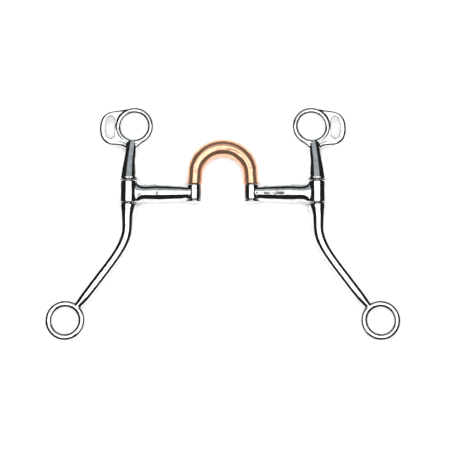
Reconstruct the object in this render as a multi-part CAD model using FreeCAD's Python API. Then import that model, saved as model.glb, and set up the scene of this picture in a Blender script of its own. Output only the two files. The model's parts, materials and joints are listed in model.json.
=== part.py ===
"""Curb bit with a hinged copper port and swivelling cheeks, lying flat, in millimetres.

+X runs along the mouthpiece, +Y from the rein rings to the headstall rings, +Z up from the surface
that the bit lies on. The origin is under the middle of the whole bit, on that surface.
"""

import FreeCAD
import Part

import math
import os

from FreeCAD import Placement, Rotation, Vector

# ---- driving dimensions -------------------------------------------------------------------------
MOUTH_WIDTH = 127.0         # between the inner faces of the two sleeves

# sleeve at the outer end of each mouth bar, upright on the swivel axis
SLEEVE_R = 7.9
SLEEVE_UP = 9.7             # reach above the bar's axis
SLEEVE_DOWN = 8.0           # reach below it
SLEEVE_EDGE_R = 0.8

# barrel at the inner end of each mouth bar, upright on the port hinge axis
HINGE_X = 21.6
BARREL_R = 6.25
BARREL_UP = 6.2             # reach above the bar's axis
BARREL_DOWN = 5.8           # reach below it

# round bar between them: (distance from the port hinge axis, radius)
BAR_PROFILE = [(0.0, 5.4), (6.0, 6.0), (10.0, 6.5), (18.0, 6.95), (27.4, 7.55), (34.0, 7.2),
               (38.0, 6.95), (41.0, 7.1), (43.5, 7.6)]

# copper port, a U of round bar that is thickest at its crown
PORT_SPRING_Y = 15.2        # height of the arch's springing above the bar's axis
PORT_HALF_WIDTH = 20.9      # hinge-side half width of its centre line at the springing
PORT_RISE = 19.6            # rise of its centre line above the springing
PORT_LEG_R = 5.75
PORT_CROWN_R = 6.85
PORT_LEG_REST_X = 21.4      # centre line at the foot of a leg
PORT_STATIONS = 8           # sections in each half of the arch

# pins, and the gaps that let the joints turn
PORT_PIN_R = 3.0
PORT_PIN_DEPTH = 10.0       # length pressed up into a port leg
PIN_HEAD_R = 6.1
PIN_HEAD_RIM = 0.8          # height of the head's straight edge
PIN_HEAD_DOME = 1.3         # height of its dome
SWIVEL_PIN_R = 4.0
SWIVEL_PIN_DEPTH = 7.0      # length pressed into each half of the cheek
RUNNING = 0.06              # radial clearance of a pin in the bore that turns on it
END_GAP = 0.3               # axial gap between faces that turn on each other

# upper cheek: distances out from the swivel axis and up from the bar's axis
NECK = [(0.0, 10.0, 6.9, 6.9), (0.0, 10.9, 7.35, 7.35), (0.0, 12.9, 7.05, 7.0), (-0.2, 16.9, 6.5, 6.1),
        (-0.5, 21.3, 5.95, 5.6), (-0.9, 26.0, 5.3, 5.2), (-1.4, 30.5, 5.0, 4.6), (-1.8, 35.0, 5.0, 3.6),
        (-2.2, 38.2, 4.6, 2.5)]    # out, up, half width, half thickness
HEAD_RING = (-4.0, 51.5)    # centre of the headstall ring
HEAD_RING_R = 15.0
HEAD_WIRE_R = 2.5           # the ring is a bar of this radius bent round
PLATE_THICK = 4.2           # curb strap loop and web
PLATE_EDGE_R = 1.3
CURB_SLOT_IN = 10.9
CURB_SLOT_OUT = 17.1
CURB_SLOT_LOW = 42.4
CURB_SLOT_HIGH = 59.7
CURB_SLOT_BOW = 1.0         # how far the slot's outer side bows
CURB_LOOP = [(-7.0, 32.6), (1.0, 32.0), (4.4, 35.0), (8.5, 36.5), (15.5, 37.2), (21.0, 41.6), (23.1, 50.0),
             (21.4, 58.6), (16.0, 63.2), (6.0, 64.8), (-2.0, 66.2)]   # from the web's foot to the ring's top
WEB_TOP = (-13.3, 39.7)     # where the straight web under the ring leaves it

# lower shank: (out, down, radius) of the round sections along its centre line
SHANK = [(0.0, 8.3, 6.8), (0.1, 9.3, 7.3), (0.4, 11.3, 7.2), (0.6, 14.2, 6.35), (0.8, 17.6, 5.65),
         (0.8, 22.2, 5.3), (0.9, 28.4, 5.05), (1.8, 33.5, 5.0), (4.0, 39.2, 4.85), (7.1, 44.9, 4.6),
         (11.0, 50.8, 4.5), (16.0, 57.6, 4.5), (22.0, 65.5, 4.5), (28.0, 73.4, 4.5), (33.5, 80.4, 4.2),
         (39.0, 86.9, 2.9)]
COLLAR_SECTIONS = 2         # the first of them lie square to the swivel axis
REIN_RING = (47.2, -96.7)
REIN_RING_R = 15.6
REIN_WIRE_R = 3.0

RING_LAND = 0.2             # depth of the flat worn inside each ring
HEADROOM = 1.0              # how far cutting tools run past what they cut

# ---- derived places -----------------------------------------------------------------------------
SWIVEL_X = MOUTH_WIDTH / 2 + SLEEVE_R
AXIS_Z = SLEEVE_R
AXIS_Y = (REIN_RING_R - REIN_RING[1] - HEAD_RING_R - HEAD_RING[1]) / 2
REIN_REACH = REIN_RING[0] + REIN_RING_R - REIN_WIRE_R
CHEEK_TILT = math.degrees(math.asin((SLEEVE_R - REIN_WIRE_R) / REIN_REACH))

X_AXIS = Vector(1, 0, 0)
Y_AXIS = Vector(0, 1, 0)
Z_AXIS = Vector(0, 0, 1)


# ---- helpers ------------------------------------------------------------------------------------
def oval(centre, across, half_wide, half_thick, points=12):
    """A closed smooth section at centre: half_wide along the vector across, half_thick along Z."""
    ring = []
    for k in range(points):
        angle = 2 * math.pi * k / points
        ring.append(centre + across * (half_wide * math.cos(angle)) + Z_AXIS * (half_thick * math.sin(angle)))
    curve = Part.BSplineCurve()
    curve.interpolate(ring, PeriodicFlag=True)
    return Part.Wire([curve.toShape()])


def upright(radius, low, high, x=0.0):
    """A cylinder along Y from low to high at x."""
    return Part.makeCylinder(radius, high - low, Vector(x, low, 0), Y_AXIS)


def disc(centre, radius, wire_r):
    """A cutting tool for a round opening at centre, taller than a ring bent from a bar of wire_r."""
    reach = wire_r + HEADROOM
    return Part.makeCylinder(radius, 2 * reach, Vector(centre[0], centre[1], -reach))


def ring(centre, outer_r, wire_r):
    """A round ring lying flat, with a narrow cylindrical land inside."""
    wire = Part.makeTorus(outer_r - wire_r, wire_r, Vector(centre[0], centre[1], 0), Z_AXIS)
    return wire.cut(disc(centre, outer_r - 2 * wire_r + RING_LAND, wire_r))


def single(shape):
    """The one solid in a boolean's result."""
    solids = shape.removeSplitter().Solids
    if len(solids) != 1:
        raise ValueError(f"expected one solid, got {len(solids)}")
    return solids[0]


# ---- pieces, built about the bar's axis and the swivel or hinge axis ----------------------------
def copper_port():
    """The U of the port, with a blind hole up each leg for its pin."""
    foot = BARREL_UP + END_GAP
    stations = [(PORT_LEG_REST_X, foot, 0.0, PORT_LEG_R),
                ((PORT_LEG_REST_X + PORT_HALF_WIDTH) / 2, (foot + PORT_SPRING_Y) / 2, 0.0, PORT_LEG_R)]
    for k in range(2 * PORT_STATIONS + 1):
        angle = math.pi * k / (2 * PORT_STATIONS)
        radius = PORT_LEG_R + (PORT_CROWN_R - PORT_LEG_R) * math.sin(angle)
        stations.append((PORT_HALF_WIDTH * math.cos(angle), PORT_SPRING_Y + PORT_RISE * math.sin(angle),
                         angle, radius))
    stations += [(-x, y, math.pi, radius) for x, y, _, radius in reversed(stations[:2])]
    sections = []
    for x, y, angle, radius in stations:
        across = Vector(PORT_RISE * math.cos(angle), PORT_HALF_WIDTH * math.sin(angle), 0).normalize()
        sections.append(oval(Vector(x, y, 0), across, radius, radius))
    port = Part.makeLoft(sections, True, False)
    for side in (-1, 1):
        port = port.cut(upright(PORT_PIN_R, foot - HEADROOM, foot + PORT_PIN_DEPTH, side * HINGE_X))
    return single(port)


def port_pin():
    """A rivet on the hinge axis: plain shank, and a domed head below the barrel."""
    head_top = -BARREL_DOWN - END_GAP
    dome_low = head_top - PIN_HEAD_RIM - PIN_HEAD_DOME
    rim_low = Vector(PIN_HEAD_R, head_top - PIN_HEAD_RIM, 0)
    rim_high = Vector(PIN_HEAD_R, head_top, 0)
    dome_r = (PIN_HEAD_R ** 2 + PIN_HEAD_DOME ** 2) / (2 * PIN_HEAD_DOME)
    half = math.asin(PIN_HEAD_R / dome_r) / 2
    bulge = Vector(dome_r * math.sin(half), dome_low + dome_r * (1 - math.cos(half)), 0)
    top = Vector(0, head_top, 0)
    low = Vector(0, dome_low, 0)
    outline = Part.Wire([Part.Arc(low, bulge, rim_low).toShape(), Part.makeLine(rim_low, rim_high),
                         Part.makeLine(rim_high, top), Part.makeLine(top, low)])
    head = Part.Face(outline).revolve(Vector(), Y_AXIS, 360)
    shank = upright(PORT_PIN_R, head_top - PIN_HEAD_RIM / 2, BARREL_UP + END_GAP + PORT_PIN_DEPTH)
    pin = single(head.fuse(shank))
    pin.translate(Vector(HINGE_X, 0, 0))
    return pin


def mouth_bar():
    """Barrel, round bar and sleeve in one casting, bored for the port pin and the swivel pin."""
    reach, flare = BAR_PROFILE[-1]
    swell = Part.BSplineCurve()
    swell.interpolate([Vector(HINGE_X + along, radius, 0) for along, radius in BAR_PROFILE])
    inner = Vector(HINGE_X, 0, 0)
    outer = Vector(SWIVEL_X, 0, 0)
    inner_rim = Vector(HINGE_X, BAR_PROFILE[0][1], 0)
    swell_end = Vector(HINGE_X + reach, flare, 0)
    outer_rim = Vector(SWIVEL_X, flare - HEADROOM, 0)
    outline = Part.Wire([swell.toShape(), Part.makeLine(swell_end, outer_rim),
                         Part.makeLine(outer_rim, outer), Part.makeLine(outer, inner),
                         Part.makeLine(inner, inner_rim)])
    bar = Part.Face(outline).revolve(Vector(), X_AXIS, 360)
    sleeve = upright(SLEEVE_R, -SLEEVE_DOWN, SLEEVE_UP, SWIVEL_X)
    rims = [e for e in sleeve.Edges if abs(e.Length - 2 * math.pi * SLEEVE_R) < 0.1]
    sleeve = sleeve.makeFillet(SLEEVE_EDGE_R, rims)
    barrel = upright(BARREL_R, -BARREL_DOWN, BARREL_UP, HINGE_X)
    body = bar.fuse([sleeve, barrel])
    height_of_sleeve = Part.makeBox(2 * SWIVEL_X, SLEEVE_DOWN + SLEEVE_UP, 4 * SLEEVE_R,
                                    Vector(0, -SLEEVE_DOWN, -2 * SLEEVE_R))
    body = body.common(height_of_sleeve)
    body = body.cut(upright(SWIVEL_PIN_R + RUNNING, -SLEEVE_DOWN - HEADROOM, SLEEVE_UP + HEADROOM, SWIVEL_X))
    body = body.cut(upright(PORT_PIN_R + RUNNING, -BARREL_DOWN - HEADROOM, BARREL_UP + HEADROOM, HINGE_X))
    return single(body)


def curb_loop():
    """The flat D outside the headstall ring with the curb strap's slot, and the web under the ring."""
    middle = Vector(HEAD_RING[0], HEAD_RING[1], 0)
    web = Vector(WEB_TOP[0], WEB_TOP[1], 0)
    points = [Vector(out, up, 0) for out, up in CURB_LOOP]
    outer = Part.BSplineCurve()
    outer.interpolate(points)
    outline = Part.Wire([outer.toShape(), Part.makeLine(points[-1], middle), Part.makeLine(middle, web),
                         Part.makeLine(web, points[0])])
    plate = Part.Face(outline).extrude(Z_AXIS * PLATE_THICK)
    plate.translate(Z_AXIS * (-PLATE_THICK / 2))
    plate = plate.cut(curb_slot())
    rounded = [e for e in plate.Edges if is_flat_edge(e) and not touches_ring(e, middle)]
    plate = plate.makeFillet(PLATE_EDGE_R, rounded)
    return plate.cut(disc(HEAD_RING, HEAD_RING_R - HEAD_WIRE_R, HEAD_WIRE_R))


def curb_slot():
    """The slot's tool: a straight inner side, half-round ends and a bowed outer side."""
    end_r = (CURB_SLOT_OUT - CURB_SLOT_IN) / 2
    mid_x = CURB_SLOT_IN + end_r
    low, high = CURB_SLOT_LOW + end_r, CURB_SLOT_HIGH - end_r
    corners = [Vector(CURB_SLOT_IN, low, 0), Vector(CURB_SLOT_OUT, low, 0),
               Vector(CURB_SLOT_OUT, high, 0), Vector(CURB_SLOT_IN, high, 0)]
    edges = [Part.Arc(corners[0], Vector(mid_x, CURB_SLOT_LOW, 0), corners[1]).toShape(),
             Part.Arc(corners[1], Vector(CURB_SLOT_OUT + CURB_SLOT_BOW, (low + high) / 2, 0),
                      corners[2]).toShape(),
             Part.Arc(corners[2], Vector(mid_x, CURB_SLOT_HIGH, 0), corners[3]).toShape(),
             Part.makeLine(corners[3], corners[0])]
    tool = Part.Face(Part.Wire(edges)).extrude(Z_AXIS * (2 * PLATE_THICK))
    tool.translate(Z_AXIS * (-PLATE_THICK))
    return tool


def is_flat_edge(edge):
    """Whether an edge lies in the plate's upper or lower face."""
    return all(abs(abs(v.Point.z) - PLATE_THICK / 2) < 1e-6 for v in edge.Vertexes)


def touches_ring(edge, middle):
    """Whether an edge runs in to the headstall ring's centre, where it is hidden."""
    return any(math.hypot(v.Point.x - middle.x, v.Point.y - middle.y) < 1e-3 for v in edge.Vertexes)


def upper_cheek():
    """Collar, neck, headstall ring and curb loop in one casting, bored up from below for its pin."""
    neck = Part.makeLoft([oval(Vector(out, up, 0), X_AXIS, wide, thick) for out, up, wide, thick in NECK],
                         True, False)
    collar_low = NECK[0][1]
    cheek = neck.fuse([curb_loop(), ring(HEAD_RING, HEAD_RING_R, HEAD_WIRE_R)])
    cheek = cheek.cut(upright(SWIVEL_PIN_R, collar_low - HEADROOM, collar_low + SWIVEL_PIN_DEPTH))
    return single(cheek)


def lower_shank():
    """Collar, swept shank and rein ring in one casting, bored down from above for its pin."""
    sections = []
    for k, (out, down, radius) in enumerate(SHANK):
        before = SHANK[max(k - 1, 0)]
        after = SHANK[min(k + 1, len(SHANK) - 1)]
        along = Vector(after[0] - before[0], before[1] - after[1], 0).normalize()
        across = X_AXIS if k < COLLAR_SECTIONS else Z_AXIS.cross(along)
        sections.append(oval(Vector(out, -down, 0), across, radius, radius))
    shank = Part.makeLoft(sections, True, False)
    collar_high = -SHANK[0][1]
    shank = shank.fuse(ring(REIN_RING, REIN_RING_R, REIN_WIRE_R))
    shank = shank.cut(upright(SWIVEL_PIN_R, collar_high - SWIVEL_PIN_DEPTH, collar_high + HEADROOM))
    return single(shank)


def swivel_pin():
    """The pin inside the sleeve that holds the two halves of the cheek together."""
    return upright(SWIVEL_PIN_R, -SHANK[0][1] - SWIVEL_PIN_DEPTH, NECK[0][1] + SWIVEL_PIN_DEPTH)


# ---- assembly -----------------------------------------------------------------------------------
MOUTHPIECE_PLACE = Placement(Vector(0, AXIS_Y, AXIS_Z), Rotation())
CHEEK_PLACE = Placement(Vector(SWIVEL_X, AXIS_Y, AXIS_Z), Rotation(Y_AXIS, CHEEK_TILT))


def placed(shape, place):
    """A copy of a piece moved to its place in the bit."""
    copy = shape.copy()
    copy.transformShape(place.toMatrix())
    return copy


os.makedirs("parts", exist_ok=True)
placed(copper_port(), MOUTHPIECE_PLACE).exportStep("parts/copper_port.step")
for name, piece, place in [("port_pin", port_pin(), MOUTHPIECE_PLACE),
                           ("mouth_bar", mouth_bar(), MOUTHPIECE_PLACE),
                           ("upper_cheek", upper_cheek(), CHEEK_PLACE),
                           ("lower_shank", lower_shank(), CHEEK_PLACE),
                           ("swivel_pin", swivel_pin(), CHEEK_PLACE)]:
    right = placed(piece, place)
    right.exportStep(f"parts/{name}_right.step")
    right.mirror(Vector(), X_AXIS).exportStep(f"parts/{name}_left.step")
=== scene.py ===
import json
import math

import bmesh
import bpy
from mathutils import Matrix, Vector


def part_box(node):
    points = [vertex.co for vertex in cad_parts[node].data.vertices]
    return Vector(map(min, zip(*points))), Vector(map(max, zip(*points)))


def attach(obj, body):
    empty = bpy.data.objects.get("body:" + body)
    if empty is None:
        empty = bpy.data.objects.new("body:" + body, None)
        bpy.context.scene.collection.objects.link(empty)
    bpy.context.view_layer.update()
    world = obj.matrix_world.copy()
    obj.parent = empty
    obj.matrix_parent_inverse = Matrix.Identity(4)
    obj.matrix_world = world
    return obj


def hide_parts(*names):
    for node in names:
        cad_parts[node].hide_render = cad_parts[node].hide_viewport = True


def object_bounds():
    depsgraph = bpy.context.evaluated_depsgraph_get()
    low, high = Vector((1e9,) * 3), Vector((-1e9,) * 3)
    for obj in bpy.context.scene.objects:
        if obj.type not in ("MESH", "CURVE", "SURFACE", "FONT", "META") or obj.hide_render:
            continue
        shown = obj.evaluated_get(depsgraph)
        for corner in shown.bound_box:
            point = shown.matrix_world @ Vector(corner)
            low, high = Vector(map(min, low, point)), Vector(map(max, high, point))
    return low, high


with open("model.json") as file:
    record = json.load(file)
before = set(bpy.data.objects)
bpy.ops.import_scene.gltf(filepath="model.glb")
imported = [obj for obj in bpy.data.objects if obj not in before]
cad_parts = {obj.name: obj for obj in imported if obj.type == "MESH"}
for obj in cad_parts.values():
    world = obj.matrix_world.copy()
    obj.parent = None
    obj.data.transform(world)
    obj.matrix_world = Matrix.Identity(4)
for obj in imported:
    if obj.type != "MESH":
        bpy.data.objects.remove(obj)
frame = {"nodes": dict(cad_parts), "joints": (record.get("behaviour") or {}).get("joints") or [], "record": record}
cad_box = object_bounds()

# ---- table, light and camera --------------------------------------------------------------------
# The bit lies flat on a plain white table. A white soft light hangs over it with a dimmer blue-grey one
# beyond it, and a low white panel stands at its right and at its back. Between them polished metal
# reflects the dark room. A wide fill light whitens the table only and doesn't show in the metal.
TABLE_HALF = 3.0
LIGHT_HEIGHT = 1.0
OVERHEAD_Y = -0.105             # middle of the main light
OVERHEAD_SIZE = (1.16, 0.89)
OVERHEAD_BRIGHTNESS = 2.4
SKY_Y = 0.68                    # middle of the blue-grey light
SKY_SIZE = (0.84, 0.68)
SKY_BRIGHTNESS = 0.6
SKY_BLUE = (0.86, 0.95, 1.0)
PANEL_AWAY = 1.2                # from the bit
PANEL_WIDE = 2.4
RIGHT_PANEL_HIGH = 0.16
BACK_PANEL_HIGH = 0.3
PANEL_BRIGHTNESS = 0.6
PANEL_CREAM = (1.0, 0.98, 0.95)
FILL_HEIGHT = 2.0
FILL_SIZE = (4.5, 4.5)
FILL_BRIGHTNESS = 2.1
SHADE_X = -0.09                 # middle of the grey card, across the bit
SHADE_WIDE = 0.11
SHADE_NEAR = -0.42
SHADE_FAR = 0.17
SHADE_HEIGHT = 0.9 * LIGHT_HEIGHT
SHADE_GREY = 0.12
ROOM_GREY = 0.02
BACKDROP_WHITE = 0.93
CAMERA_DISTANCE = 1.5
CAMERA_ELEVATION = math.radians(80)
CAMERA_WIDTH = 0.3396           # of the view, at the bit
CAMERA_AIM = (0.0016, -0.0017)  # from the middle of the bit

table_bm = bmesh.new()
bmesh.ops.create_grid(table_bm, x_segments=1, y_segments=1, size=TABLE_HALF)
table_mesh = bpy.data.meshes.new("table")
table_bm.to_mesh(table_mesh)
table_bm.free()
table = bpy.data.objects.new("table", table_mesh)
bpy.context.scene.collection.objects.link(table)

table_white = bpy.data.materials.new("table_white")
table_white.use_nodes = True
table_shader = table_white.node_tree.nodes["Principled BSDF"]
table_shader.inputs["Base Color"].default_value = (0.9, 0.9, 0.9, 1)
table_shader.inputs["Roughness"].default_value = 0.8
table_shader.inputs["Specular IOR Level"].default_value = 0.2
table_mesh.materials.append(table_white)


def soft_light(name, centre, target, size, brightness, colour=(1, 1, 1)):
    """A rectangular soft light at centre, facing target, as bright as a white surface times brightness."""
    wide, high = size
    light = bpy.data.lights.new(name, "AREA")
    light.shape = "RECTANGLE"
    light.size = wide
    light.size_y = high
    light.energy = brightness * math.pi * wide * high
    light.color = colour
    lamp = bpy.data.objects.new(name, light)
    lamp.location = centre
    lamp.rotation_euler = (Vector(target) - Vector(centre)).to_track_quat("-Z", "Y").to_euler()
    lamp.visible_camera = False
    bpy.context.scene.collection.objects.link(lamp)
    return lamp


soft_light("overhead", (0, OVERHEAD_Y, LIGHT_HEIGHT), (0, OVERHEAD_Y, 0), OVERHEAD_SIZE, OVERHEAD_BRIGHTNESS)
soft_light("sky", (0, SKY_Y, LIGHT_HEIGHT), (0, SKY_Y, 0), SKY_SIZE, SKY_BRIGHTNESS, SKY_BLUE)
for name, x, y, high in [("right_panel", PANEL_AWAY, 0, RIGHT_PANEL_HIGH),
                         ("back_panel", 0, PANEL_AWAY, BACK_PANEL_HIGH)]:
    soft_light(name, (x, y, high / 2), (0, 0, high / 2), (PANEL_WIDE, high), PANEL_BRIGHTNESS, PANEL_CREAM)
fill = soft_light("fill", (0, 0, FILL_HEIGHT), (0, 0, 0), FILL_SIZE, FILL_BRIGHTNESS)
fill.visible_glossy = False

# A level grey card under the main light shows in the metal as the shade of a camera would.
shade_bm = bmesh.new()
bmesh.ops.create_grid(shade_bm, x_segments=1, y_segments=1, size=0.5)
bmesh.ops.scale(shade_bm, vec=(SHADE_WIDE, SHADE_FAR - SHADE_NEAR, 1), verts=shade_bm.verts)
bmesh.ops.translate(shade_bm, vec=(SHADE_X, (SHADE_NEAR + SHADE_FAR) / 2, SHADE_HEIGHT), verts=shade_bm.verts)
shade_mesh = bpy.data.meshes.new("camera_shade")
shade_bm.to_mesh(shade_mesh)
shade_bm.free()
camera_shade = bpy.data.objects.new("camera_shade", shade_mesh)
camera_shade.visible_camera = False
bpy.context.scene.collection.objects.link(camera_shade)

shade_paper = bpy.data.materials.new("camera_shade")
shade_paper.use_nodes = True
shade_shader = shade_paper.node_tree.nodes["Principled BSDF"]
shade_shader.inputs["Base Color"].default_value = (0.02, 0.02, 0.02, 1)
shade_shader.inputs["Emission Color"].default_value = (SHADE_GREY, SHADE_GREY, SHADE_GREY, 1)
shade_shader.inputs["Emission Strength"].default_value = 1
shade_mesh.materials.append(shade_paper)

room = bpy.data.worlds.new("room")
room.use_nodes = True
bpy.context.scene.world = room
room_nodes = room.node_tree.nodes
room_links = room.node_tree.links
room_dark = room_nodes["Background"]
room_dark.inputs["Color"].default_value = (ROOM_GREY, ROOM_GREY, ROOM_GREY, 1)
backdrop = room_nodes.new("ShaderNodeBackground")
backdrop.inputs["Color"].default_value = (BACKDROP_WHITE, BACKDROP_WHITE, BACKDROP_WHITE, 1)
seen = room_nodes.new("ShaderNodeLightPath")
either = room_nodes.new("ShaderNodeMixShader")
room_links.new(seen.outputs["Is Camera Ray"], either.inputs["Fac"])
room_links.new(room_dark.outputs["Background"], either.inputs[1])
room_links.new(backdrop.outputs["Background"], either.inputs[2])
room_links.new(either.outputs["Shader"], room_nodes["World Output"].inputs["Surface"])

joint_at = {joint["name"]: Vector(joint["pos_m"]) for joint in frame["joints"]}
axis_height = joint_at["cheek_swivel_right"].z

lens = bpy.data.cameras.new("camera")
lens.sensor_width = 36
lens.lens = lens.sensor_width * CAMERA_DISTANCE / CAMERA_WIDTH
camera = bpy.data.objects.new("camera", lens)
middle = (cad_box[0] + cad_box[1]) / 2
looked_at = Vector((middle.x + CAMERA_AIM[0], middle.y + CAMERA_AIM[1], axis_height))
away = Vector((0, -math.cos(CAMERA_ELEVATION), math.sin(CAMERA_ELEVATION)))
camera.location = looked_at + away * CAMERA_DISTANCE
camera.rotation_euler = (math.radians(90) - CAMERA_ELEVATION, 0, 0)
bpy.context.scene.collection.objects.link(camera)
bpy.context.scene.camera = camera
bpy.context.scene.view_settings.view_transform = "Standard"

# ---- copper port --------------------------------------------------------------------------------
# The U-shaped port is a bar of solid copper, forged thicker at its crown and polished bright.
# Its feet stand just clear of the steel barrels, and a rivet is pressed up into each foot.
MM = 0.001
SIDES = 48                      # faces round a bar
PORT_SPRING = 15.2 * MM         # the arch springs this high above the bars' axis
PORT_HALF_WIDTH = 20.9 * MM     # to the middle of a leg at the springing
PORT_RISE = 19.6 * MM           # of the arch, from the springing to the middle of the crown
PORT_LEG_R = 5.75 * MM
PORT_CROWN_R = 6.85 * MM
PORT_FOOT_X = 21.4 * MM
PORT_FOOT_EDGE = 0.45 * MM      # rounding of a foot's rim
PORT_STEPS = 40                 # sections round the arch
UP = Vector((0, 0, 1))          # off the table


def section(bm, centre, along, half_wide, half_thick, fullness=2.0):
    """The edges of one section of a bar that lies flat: oval, or fuller at its corners above 2."""
    across = along.cross(UP).normalized()
    place = Matrix((across * half_wide, UP * half_thick, along.normalized())).transposed().to_4x4()
    place.translation = centre
    made = bmesh.ops.create_circle(bm, cap_ends=False, segments=SIDES, radius=1)
    for vert in made["verts"]:
        vert.co /= (abs(vert.co.x) ** fullness + abs(vert.co.y) ** fullness) ** (1 / fullness)
    bmesh.ops.transform(bm, matrix=place, verts=made["verts"])
    return list({edge for vert in made["verts"] for edge in vert.link_edges})


def bar(bm, rows, fullness=2.0):
    """A solid bar through rows of (centre, half width, half thickness), square to its own run."""
    loops = []
    for k, (centre, half_wide, half_thick) in enumerate(rows):
        along = rows[min(k + 1, len(rows) - 1)][0] - rows[max(k - 1, 0)][0]
        loops.append(section(bm, centre, along, half_wide, half_thick, fullness))
    for near, far in zip(loops, loops[1:]):
        bmesh.ops.bridge_loops(bm, edges=near + far)
    for end in (loops[0], loops[-1]):
        bmesh.ops.edgeloop_fill(bm, edges=end)


def piece_from(bm, name):
    """Closes a bmesh into a smooth-shaded object at the origin."""
    bmesh.ops.remove_doubles(bm, verts=bm.verts, dist=0.001 * MM)
    bmesh.ops.recalc_face_normals(bm, faces=bm.faces)
    mesh = bpy.data.meshes.new(name)
    bm.to_mesh(mesh)
    bm.free()
    mesh.shade_smooth()
    piece = bpy.data.objects.new(name, mesh)
    bpy.context.scene.collection.objects.link(piece)
    return piece


port_axis = (joint_at["port_hinge_left"] + joint_at["port_hinge_right"]) / 2
port_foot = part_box("copper_port")[0].y - port_axis.y
port_rows = []
for lift, inset in [(0, 1), (0.3, 0.3), (1, 0)]:
    foot_r = PORT_LEG_R - inset * PORT_FOOT_EDGE
    port_rows.append((Vector((PORT_FOOT_X, port_foot + lift * PORT_FOOT_EDGE, 0)), foot_r, foot_r))
port_rows.append((Vector(((PORT_FOOT_X + PORT_HALF_WIDTH) / 2, (port_foot + PORT_SPRING) / 2, 0)),
                  PORT_LEG_R, PORT_LEG_R))
leg_rows = list(port_rows)
for k in range(PORT_STEPS + 1):
    turn = math.pi * k / PORT_STEPS
    port_r = PORT_LEG_R + (PORT_CROWN_R - PORT_LEG_R) * math.sin(turn)
    port_rows.append((Vector((PORT_HALF_WIDTH * math.cos(turn), PORT_SPRING + PORT_RISE * math.sin(turn), 0)),
                      port_r, port_r))
port_rows += [(Vector((-at.x, at.y, 0)), wide, thick) for at, wide, thick in reversed(leg_rows)]
port_bm = bmesh.new()
bar(port_bm, [(at + port_axis, wide, thick) for at, wide, thick in port_rows])
port = piece_from(port_bm, "copper_arch")


def hand_polish_group():
    """Slow waves left by the polishing wheel, fine lines, and a haze that comes and goes."""
    group = bpy.data.node_groups.new("hand_polish", "ShaderNodeTree")
    for name, kind, in_out, value in [("Wave Scale", "NodeSocketFloat", "INPUT", 140.0),
                                      ("Line Scale", "NodeSocketFloat", "INPUT", 900.0),
                                      ("Line Stretch", "NodeSocketVector", "INPUT", (1, 1, 1)),
                                      ("Line Depth", "NodeSocketFloat", "INPUT", 0.05),
                                      ("Height", "NodeSocketFloat", "OUTPUT", 0.0),
                                      ("Haze", "NodeSocketFloat", "OUTPUT", 0.0)]:
        socket = group.interface.new_socket(name=name, in_out=in_out, socket_type=kind)
        if in_out == "INPUT":
            socket.default_value = value
    nodes, links = group.nodes, group.links
    given = nodes.new("NodeGroupInput")
    result = nodes.new("NodeGroupOutput")
    place = nodes.new("ShaderNodeTexCoord")
    waves = nodes.new("ShaderNodeTexNoise")
    waves.inputs["Detail"].default_value = 1.5
    waves.inputs["Roughness"].default_value = 0.4
    stretch = nodes.new("ShaderNodeMapping")
    lines = nodes.new("ShaderNodeTexNoise")
    lines.inputs["Detail"].default_value = 4.0
    lines.inputs["Roughness"].default_value = 0.65
    haze = nodes.new("ShaderNodeTexNoise")
    haze.inputs["Scale"].default_value = 260.0
    haze.inputs["Detail"].default_value = 5.0
    haze.inputs["Roughness"].default_value = 0.6
    deepen = nodes.new("ShaderNodeMath")
    deepen.operation = "MULTIPLY_ADD"
    links.new(place.outputs["Object"], waves.inputs["Vector"])
    links.new(given.outputs["Wave Scale"], waves.inputs["Scale"])
    links.new(place.outputs["Object"], stretch.inputs["Vector"])
    links.new(given.outputs["Line Stretch"], stretch.inputs["Scale"])
    links.new(stretch.outputs["Vector"], lines.inputs["Vector"])
    links.new(given.outputs["Line Scale"], lines.inputs["Scale"])
    links.new(place.outputs["Object"], haze.inputs["Vector"])
    links.new(lines.outputs["Fac"], deepen.inputs[0])
    links.new(given.outputs["Line Depth"], deepen.inputs[1])
    links.new(waves.outputs["Fac"], deepen.inputs[2])
    links.new(deepen.outputs["Value"], result.inputs["Height"])
    links.new(haze.outputs["Fac"], result.inputs["Haze"])
    return group


hand_polish = hand_polish_group()


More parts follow.
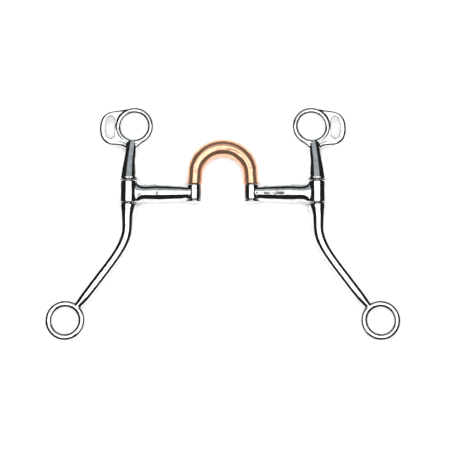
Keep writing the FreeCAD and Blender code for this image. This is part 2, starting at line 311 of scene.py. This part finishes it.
def polished_metal(name, bright, shade_and_haze_colour, shine, haze, wave_depth, wave_scale, line_stretch, metallic=1.0):
    """Polished metal with a darker colour painted into its hollows as painted shade, and a duller, rougher finish
    where the haze is thick; the hollows are rougher too.
    """
    metal = bpy.data.materials.new(name)
    metal.use_nodes = True
    nodes, links = metal.node_tree.nodes, metal.node_tree.links
    shader = nodes["Principled BSDF"]
    shader.inputs["Metallic"].default_value = metallic
    polish = nodes.new("ShaderNodeGroup")
    polish.node_tree = hand_polish
    polish.inputs["Wave Scale"].default_value = wave_scale
    polish.inputs["Line Stretch"].default_value = line_stretch
    bump = nodes.new("ShaderNodeBump")
    bump.inputs["Distance"].default_value = wave_depth
    shape = nodes.new("ShaderNodeNewGeometry")
    # Hollows, found from the mesh's pointiness, get the darker colour as painted shade, and a rougher finish.
    painted_hollow_shade = nodes.new("ShaderNodeMapRange")
    painted_hollow_shade.inputs["From Min"].default_value = 0.485
    painted_hollow_shade.inputs["From Max"].default_value = 0.44
    patch = nodes.new("ShaderNodeMapRange")
    patch.inputs["From Min"].default_value = 0.45
    patch.inputs["From Max"].default_value = 0.75
    # The darker colour and the rougher finish follow the stronger of two masks: the painted shade in hollows and
    # the real haze patches.
    shade_and_haze_mask = nodes.new("ShaderNodeMath")
    shade_and_haze_mask.operation = "MAXIMUM"
    tint = nodes.new("ShaderNodeMix")
    tint.data_type = "RGBA"
    tint.inputs["A"].default_value = (*bright, 1)
    tint.inputs["B"].default_value = (*shade_and_haze_colour, 1)
    rough = nodes.new("ShaderNodeMapRange")
    rough.inputs["To Min"].default_value = shine
    rough.inputs["To Max"].default_value = haze
    links.new(polish.outputs["Height"], bump.inputs["Height"])
    links.new(bump.outputs["Normal"], shader.inputs["Normal"])
    links.new(shape.outputs["Pointiness"], painted_hollow_shade.inputs["Value"])
    links.new(polish.outputs["Haze"], patch.inputs["Value"])
    links.new(painted_hollow_shade.outputs["Result"], shade_and_haze_mask.inputs[0])
    links.new(patch.outputs["Result"], shade_and_haze_mask.inputs[1])
    links.new(shade_and_haze_mask.outputs["Value"], tint.inputs["Factor"])
    links.new(tint.outputs["Result"], shader.inputs["Base Color"])
    links.new(shade_and_haze_mask.outputs["Value"], rough.inputs["Value"])
    links.new(rough.outputs["Result"], shader.inputs["Roughness"])
    return metal


# Each metal's darker colour is both the painted shade in its hollows and the tone of its hazy patches.
copper = polished_metal("polished_copper", bright=(0.80, 0.46, 0.30), shade_and_haze_colour=(0.56, 0.27, 0.17),
                        shine=0.12, haze=0.28, metallic=0.88, wave_depth=0.05 * MM, wave_scale=120,
                        line_stretch=(1, 6, 1))
port.data.materials.append(copper)
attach(port, "port")
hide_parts("copper_port")

# ---- port rivets --------------------------------------------------------------------------------
# A steel rivet stands in each barrel as the port's hinge pin. Its low domed head shows below the
# barrel, and its plain shank is pressed up into the copper.
RIVET_R = 3.0 * MM
RIVET_HEAD_R = 6.1 * MM
RIVET_RIM = 0.8 * MM            # height of the head's straight edge
RIVET_DOME = 1.3 * MM           # height of the dome below it
RIVET_DOME_STEPS = 8
RIVET_DOME_FLATNESS = 0.9       # a full round dome is 1
RIVET_EDGE = 0.12 * MM          # chamfer round the top of the head
RIVET_TURNS = 64
RIVET_HEAD_DROP = 6.1 * MM      # from the bars' axis to the flat of the head
RIVET_SHARP = math.radians(50)  # edges that turn more than this stay crisp


def rivet(name, hinge, top):
    """Spins a rivet's outline about the hinge axis."""
    outline = [(0, -RIVET_RIM - RIVET_DOME)]
    for k in range(1, RIVET_DOME_STEPS + 1):
        turn = math.pi / 2 * k / RIVET_DOME_STEPS
        outline.append((RIVET_HEAD_R * math.sin(turn) ** RIVET_DOME_FLATNESS,
                        -RIVET_RIM - RIVET_DOME * math.cos(turn)))
    shank_top = top - hinge.y + RIVET_HEAD_DROP
    outline += [(RIVET_HEAD_R, -RIVET_EDGE), (RIVET_HEAD_R - RIVET_EDGE, 0), (RIVET_R, 0),
                (RIVET_R, shank_top), (0, shank_top)]
    bm = bmesh.new()
    foot = Vector((hinge.x, hinge.y - RIVET_HEAD_DROP, hinge.z))
    verts = [bm.verts.new(foot + Vector((across, along, 0))) for across, along in outline]
    edges = [bm.edges.new(pair) for pair in zip(verts, verts[1:])]
    bmesh.ops.spin(bm, geom=verts + edges, cent=foot, axis=(0, 1, 0), angle=2 * math.pi,
                   steps=RIVET_TURNS, use_merge=True)
    return piece_from(bm, name)


rivet_steel = polished_metal("rivet_steel", bright=(0.64, 0.64, 0.65), shade_and_haze_colour=(0.42, 0.42, 0.43),
                             shine=0.12, haze=0.3, wave_depth=0.03 * MM, wave_scale=300,
                             line_stretch=(3, 3, 1))
for side in ("left", "right"):
    pin = rivet(f"port_rivet_{side}", joint_at[f"port_hinge_{side}"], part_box(f"port_pin_{side}")[1].y)
    pin.data.set_sharp_from_angle(angle=RIVET_SHARP)
    pin.data.materials.append(rivet_steel)
    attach(pin, "port")
    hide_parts(f"port_pin_{side}")

# ---- mouth bars ---------------------------------------------------------------------------------
# Each half of the mouthpiece is one stainless casting: the barrel that turns on the port's rivet,
# the swelling bar, and the sleeve that the cheek swivels in. Both bores run right through.
# Rows of the bar: distance from the port hinge, half height, half thickness, in mm.
BAR_PROFILE = [(0.0, 5.4, 5.4), (6.0, 6.0, 6.0), (10.0, 6.5, 6.5), (18.0, 6.95, 6.95), (27.4, 7.55, 7.55),
               (34.0, 7.2, 7.15), (37.0, 7.0, 6.8), (39.5, 7.15, 6.6), (41.5, 8.0, 6.5), (43.0, 9.4, 6.4),
               (44.5, 11.5, 6.2), (48.0, 11.5, 6.0)]
BAR_STEPS = 8                   # sections from one row to the next
SLEEVE_R = 7.9 * MM
SLEEVE_UP = 9.7 * MM            # from the bars' axis
SLEEVE_DOWN = 8.0 * MM
SLEEVE_TOP_EDGE = 1.9 * MM      # rounding of the rims
SLEEVE_FOOT_EDGE = 0.8 * MM
BARREL_R = 6.25 * MM
BARREL_UP = 6.2 * MM            # from the bars' axis
BARREL_DOWN = 5.8 * MM
BARREL_EDGE = 0.9 * MM
RIM_STEPS = 6                   # faces round a rounded rim
SWIVEL_BORE_R = 4.06 * MM       # the pins run in their bores with 0.06 mm to spare
HINGE_BORE_R = 3.06 * MM
CASTING_GRAIN = 0.3 * MM        # size of a face in a casting's skin
CASTING_SHARP = math.radians(60)    # edges that turn more than this stay crisp
SAME_LEVEL = 0.01 * MM
UP_CHEEK = Vector((0, 1, 0))    # the way that the swivels and hinges stand


def upright(bm, radius, low, high, low_edge=0.0, high_edge=0.0):
    """A cylinder along Y between two points, with each rim rounded as asked."""
    stand = Matrix.Translation((low + high) / 2) @ Matrix.Rotation(math.radians(90), 4, "X")
    made = bmesh.ops.create_cone(bm, cap_ends=True, segments=2 * SIDES, radius1=radius, radius2=radius,
                                 depth=(high - low).length, matrix=stand)
    for end, rounding in ((low, low_edge), (high, high_edge)):
        if rounding:
            at_end = [vert for vert in made["verts"] if vert.is_valid and abs(vert.co.y - end.y) < SAME_LEVEL]
            rim = {edge for vert in at_end for edge in vert.link_edges
                   if abs(edge.verts[0].co.y - edge.verts[1].co.y) < SAME_LEVEL}
            bmesh.ops.bevel(bm, geom=list(rim), offset=rounding, offset_type="OFFSET", segments=RIM_STEPS,
                            profile=0.5, affect="EDGES", material=-1)


def eased(rows, steps):
    """The rows, and steps - 1 more between each pair, on a smooth curve through all of them."""
    smooth = []
    for k in range(len(rows) - 1):
        a, b, c, d = (Vector(rows[min(max(j, 0), len(rows) - 1)]) for j in range(k - 1, k + 3))
        for step in range(steps):
            t = step / steps
            smooth.append(b + (c - a) * (t / 2) + (2 * a - 5 * b + 4 * c - d) * (t * t / 2)
                          + (3 * b - a - 3 * c + d) * (t ** 3 / 2))
    smooth.append(Vector(rows[-1]))
    return smooth


def apply_modifiers(piece):
    """Makes a piece's modifiers part of its mesh."""
    graph = bpy.context.evaluated_depsgraph_get()
    made = bpy.data.meshes.new_from_object(piece.evaluated_get(graph))
    piece.modifiers.clear()
    rough_mesh = piece.data
    piece.data = made
    bpy.data.meshes.remove(rough_mesh)
    made.name = piece.name


def cast(bm, name, passes=6):
    """Runs overlapping shapes together into one skin and eases its corners, passes times over."""
    piece = piece_from(bm, name)
    skin = piece.modifiers.new("skin", "REMESH")
    skin.mode = "VOXEL"
    skin.voxel_size = CASTING_GRAIN
    skin.use_smooth_shade = True
    ease = piece.modifiers.new("ease", "SMOOTH")
    ease.factor = 0.5
    ease.iterations = passes
    apply_modifiers(piece)
    return piece


def drill(piece, radius, low, high):
    """Bores a round hole along Y between two points."""
    bit = bmesh.new()
    upright(bit, radius, low, high)
    drill_bit = piece_from(bit, "drill_bit")
    hole = piece.modifiers.new("hole", "BOOLEAN")
    hole.operation = "DIFFERENCE"
    hole.solver = "EXACT"
    hole.object = drill_bit
    apply_modifiers(piece)
    bpy.data.objects.remove(drill_bit)


def other_side(piece, name):
    """The mirrored casting for the left side of the bit."""
    bm = bmesh.new()
    bm.from_mesh(piece.data)
    bmesh.ops.scale(bm, vec=(-1, 1, 1), verts=bm.verts)
    return piece_from(bm, name)


hinge = joint_at["port_hinge_right"]
swivel = joint_at["cheek_swivel_right"]
bar_bm = bmesh.new()
bar(bar_bm, [(hinge + Vector((along * MM, 0, 0)), half_high * MM, half_thick * MM)
             for along, half_high, half_thick in eased(BAR_PROFILE, BAR_STEPS)])
for end in (UP_CHEEK * (SLEEVE_UP - SLEEVE_TOP_EDGE), -UP_CHEEK * (SLEEVE_DOWN - SLEEVE_FOOT_EDGE / 2)):
    bmesh.ops.bisect_plane(bar_bm, geom=bar_bm.verts[:] + bar_bm.edges[:] + bar_bm.faces[:],
                           plane_co=swivel + end, plane_no=end, clear_outer=True)
    bmesh.ops.holes_fill(bar_bm, edges=bar_bm.edges)
upright(bar_bm, SLEEVE_R, swivel - UP_CHEEK * SLEEVE_DOWN, swivel + UP_CHEEK * SLEEVE_UP,
        SLEEVE_FOOT_EDGE, SLEEVE_TOP_EDGE)
upright(bar_bm, BARREL_R, hinge - UP_CHEEK * BARREL_DOWN, hinge + UP_CHEEK * BARREL_UP,
        BARREL_EDGE, BARREL_EDGE)
mouth_bar = cast(bar_bm, "mouth_casting_right")
drill(mouth_bar, SWIVEL_BORE_R, swivel - UP_CHEEK * 2 * SLEEVE_DOWN, swivel + UP_CHEEK * 2 * SLEEVE_UP)
drill(mouth_bar, HINGE_BORE_R, hinge - UP_CHEEK * 2 * BARREL_DOWN, hinge + UP_CHEEK * 2 * BARREL_UP)
mouth_bar.data.shade_smooth()
mouth_bar.data.set_sharp_from_angle(angle=CASTING_SHARP)

bar_steel = polished_metal("bar_steel", bright=(0.66, 0.665, 0.67), shade_and_haze_colour=(0.42, 0.43, 0.44),
                           shine=0.05, haze=0.2, wave_depth=0.16 * MM, wave_scale=150,
                           line_stretch=(1, 6, 6))
for side, casting in [("right", mouth_bar), ("left", other_side(mouth_bar, "mouth_casting_left"))]:
    casting.data.materials.append(bar_steel)
    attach(casting, f"{side}_bar")
    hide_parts(f"mouth_bar_{side}")

# ---- upper cheeks -------------------------------------------------------------------------------
# The upper half of each cheek is a stainless casting: a collar on the swivel pin, a neck that flattens
# as it rises, the headstall ring, and the D outside it with a slot for the curb strap.
# Rows of a bar in the cheek: out, up, half width and half thickness, in mm from the swivel.
NECK = [(0.0, 10.0, 6.9, 6.9), (0.0, 10.9, 7.35, 7.35), (0.0, 12.9, 7.05, 7.0), (-0.2, 16.9, 6.5, 6.35),
        (-0.5, 21.3, 5.95, 5.7), (-0.9, 26.0, 5.3, 5.05), (-1.4, 30.5, 5.0, 4.35), (-1.8, 35.0, 4.6, 3.55),
        (-2.2, 38.8, 4.0, 2.85), (-2.3, 40.3, 3.6, 2.5)]
NECK_STEPS = 6                  # sections from one row to the next
NECK_FULLNESS = 2.5             # 2 is an oval
WIRE_FULLNESS = 2.05
HEAD_RING_R = 12.5 * MM         # to the middle of the wire
HEAD_WIRE_R = 2.5 * MM
LOOP = [(-1.2, 29.5, 2.2, 2.4), (0.6, 34.0, 2.4, 2.4), (3.4, 37.6, 2.5, 2.3), (8.2, 39.1, 2.6, 2.2),
        (14.4, 39.8, 2.6, 2.2), (18.8, 43.2, 2.6, 2.2), (20.5, 50.0, 2.5, 2.2), (19.2, 57.2, 2.3, 2.2),
        (14.9, 61.4, 1.9, 2.2), (6.0, 62.6, 2.2, 2.2), (-2.0, 63.9, 2.3, 2.2)]
STRUT = [(-1.6, 29.5, 2.3, 2.6), (-3.4, 34.4, 2.3, 2.6), (-6.8, 38.0, 2.3, 2.5), (-10.9, 41.2, 2.3, 2.4),
         (-14.2, 44.6, 2.3, 2.4)]
LOOP_STEPS = 8
STRUT_STEPS = 6
WEB_THICK = 4.3 * MM            # the web's outline runs inside the D, the strut and the ring's wire
WEB_EDGE = [(14.4, 39.8), (18.8, 43.2), (20.5, 50.0), (19.2, 57.2), (14.9, 61.4), (6.0, 62.6)]
WEB_FOOT = [(-6.8, 38.0), (-3.4, 34.4), (-0.6, 32.5), (3.4, 37.6), (8.2, 39.1)]
WEB_TURN_FROM = 78              # where the outline meets the ring's wire, and how far it goes round
WEB_TURN = 206
WEB_TURN_STEPS = 24
SLOT_IN = 10.9                  # mm from the swivel, as the rows are
SLOT_OUT = 17.1
SLOT_LOW = 42.4
SLOT_HIGH = 59.7
SLOT_BOW = 1.0                  # swell of the slot's outer side
SLOT_END_STEPS = 12
SLOT_BOW_STEPS = 8


def web_plate(bm, ring_at):
    """The flat metal between the ring, the neck and the D, with the curb strap's slot through it."""
    ring_x, ring_y = ring_at.x / MM, ring_at.y / MM
    edge = list(WEB_EDGE)
    for k in range(WEB_TURN_STEPS + 1):
        turn = math.radians(WEB_TURN_FROM - k * WEB_TURN / WEB_TURN_STEPS)
        edge.append((ring_x + HEAD_RING_R / MM * math.cos(turn), ring_y + HEAD_RING_R / MM * math.sin(turn)))
    edge += WEB_FOOT
    end_r = (SLOT_OUT - SLOT_IN) / 2
    slot = []
    for end_y, turned in ((SLOT_HIGH - end_r, 0), (SLOT_LOW + end_r, math.pi)):
        for k in range(SLOT_END_STEPS + 1):
            turn = turned + math.pi * k / SLOT_END_STEPS
            slot.append((SLOT_IN + end_r + end_r * math.cos(turn), end_y + end_r * math.sin(turn)))
    for k in range(1, SLOT_BOW_STEPS):
        rise = k / SLOT_BOW_STEPS
        slot.append((SLOT_OUT + SLOT_BOW * math.sin(math.pi * rise),
                     SLOT_LOW + end_r + (SLOT_HIGH - SLOT_LOW - 2 * end_r) * rise))
    edges = []
    for outline in (edge, slot):
        verts = [bm.verts.new((x * MM, y * MM, -WEB_THICK / 2)) for x, y in outline]
        edges += [bm.edges.new((verts[k - 1], verts[k])) for k in range(len(verts))]
    filled = bmesh.ops.triangle_fill(bm, use_beauty=True, edges=edges)
    faces = [item for item in filled["geom"] if isinstance(item, bmesh.types.BMFace)]
    raised = bmesh.ops.extrude_face_region(bm, geom=faces, use_keep_orig=True)
    top = [item for item in raised["geom"] if isinstance(item, bmesh.types.BMVert)]
    bmesh.ops.translate(bm, vec=UP * WEB_THICK, verts=top)


def wire_ring(bm, centre, ring_r, wire_r):
    """A ring of round wire, lying flat."""
    start = section(bm, centre + Vector((ring_r, 0, 0)), Vector((0, 1, 0)), wire_r, wire_r, WIRE_FULLNESS)
    verts = list({v for e in start for v in e.verts})
    bmesh.ops.spin(bm, geom=verts + start, cent=centre, axis=UP, angle=2 * math.pi, steps=2 * SIDES,
                   use_merge=True)


def cheek_lie(side):
    """From a cheek's own lie, about its swivel, to its place in the bit, tilted onto the table."""
    ring = next(mount for mount in frame["record"]["mounts"] if mount["name"] == f"headstall_ring_{side}")
    tilt = math.atan2(ring["axis"][0], ring["axis"][2])
    return Matrix.Translation(joint_at[f"cheek_swivel_{side}"]) @ Matrix.Rotation(tilt, 4, "Y")


def ring_centre(name, lie):
    """The middle of a ring, from its mount, in the cheek's own lie."""
    mount = next(mount for mount in frame["record"]["mounts"] if mount["name"] == name)
    centre = lie.inverted() @ Vector(mount["pos_m"])
    centre.z = 0
    return centre


def flat_bar(rows, steps):
    """Rows of (out, up, half width, half thickness) in mm, as a smooth bar's sections."""
    return [(Vector((out * MM, up * MM, 0)), wide * MM, thick * MM)
            for out, up, wide, thick in eased(rows, steps)]


right_lie = cheek_lie("right")
head_ring = ring_centre("headstall_ring_right", right_lie)
head_bm = bmesh.new()
bar(head_bm, flat_bar(NECK, NECK_STEPS), NECK_FULLNESS)
wire_ring(head_bm, head_ring, HEAD_RING_R, HEAD_WIRE_R)
bar(head_bm, flat_bar(LOOP, LOOP_STEPS), WIRE_FULLNESS)
bar(head_bm, flat_bar(STRUT, STRUT_STEPS), WIRE_FULLNESS)
web_plate(head_bm, head_ring)
bmesh.ops.transform(head_bm, matrix=right_lie, verts=head_bm.verts)
upper_cheek = cast(head_bm, "headstall_casting_right", passes=8)

cheek_steel = polished_metal("cheek_steel", bright=(0.66, 0.665, 0.67), shade_and_haze_colour=(0.46, 0.47, 0.48),
                             shine=0.05, haze=0.18, wave_depth=0.04 * MM, wave_scale=110,
                             line_stretch=(6, 1, 6))
for side, casting in [("right", upper_cheek), ("left", other_side(upper_cheek, "headstall_casting_left"))]:
    casting.data.materials.append(cheek_steel)
    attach(casting, f"{side}_cheek")
    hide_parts(f"upper_cheek_{side}")

# ---- lower shanks -------------------------------------------------------------------------------
# The lower half of each cheek is a stainless casting too: a collar under the sleeve, a round shank
# that sweeps outwards as it tapers, and the rein ring at its end.
# Rows of the shank: out, down and radius, in mm from the swivel.
SHANK = [(0.0, 8.3, 6.8), (0.1, 9.3, 7.3), (0.4, 11.3, 7.2), (0.6, 14.2, 6.35), (0.8, 17.6, 5.65),
         (0.8, 22.2, 5.3), (0.9, 28.4, 5.05), (1.8, 33.5, 5.0), (4.0, 39.2, 4.85), (7.1, 44.9, 4.6),
         (11.0, 50.8, 4.5), (16.0, 57.6, 4.5), (22.0, 65.5, 4.5), (28.0, 73.4, 4.5), (33.5, 80.4, 4.2),
         (39.0, 86.9, 2.9)]
SHANK_STEPS = 6                 # sections from one row to the next
REIN_RING_R = 12.6 * MM         # to the middle of the wire
REIN_WIRE_R = 3.0 * MM

rein_ring = ring_centre("rein_ring_right", right_lie)
shank_bm = bmesh.new()
bar(shank_bm, flat_bar([(out, -down, radius, radius) for out, down, radius in SHANK], SHANK_STEPS))
wire_ring(shank_bm, rein_ring, REIN_RING_R, REIN_WIRE_R)
bmesh.ops.transform(shank_bm, matrix=right_lie, verts=shank_bm.verts)
lower_shank = cast(shank_bm, "shank_casting_right", passes=8)
for side, casting in [("right", lower_shank), ("left", other_side(lower_shank, "shank_casting_left"))]:
    casting.data.materials.append(cheek_steel)
    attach(casting, f"{side}_cheek")
    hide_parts(f"lower_shank_{side}")

# ---- swivel pins --------------------------------------------------------------------------------
# A plain steel pin runs through each sleeve and is pressed into both halves of the cheek, so only
# its edge shows in the seams at the sleeve's ends.
for side in ("left", "right"):
    swivel_pin = frame["nodes"][f"swivel_pin_{side}"]
    swivel_pin.data.materials.clear()
    swivel_pin.data.materials.append(rivet_steel)
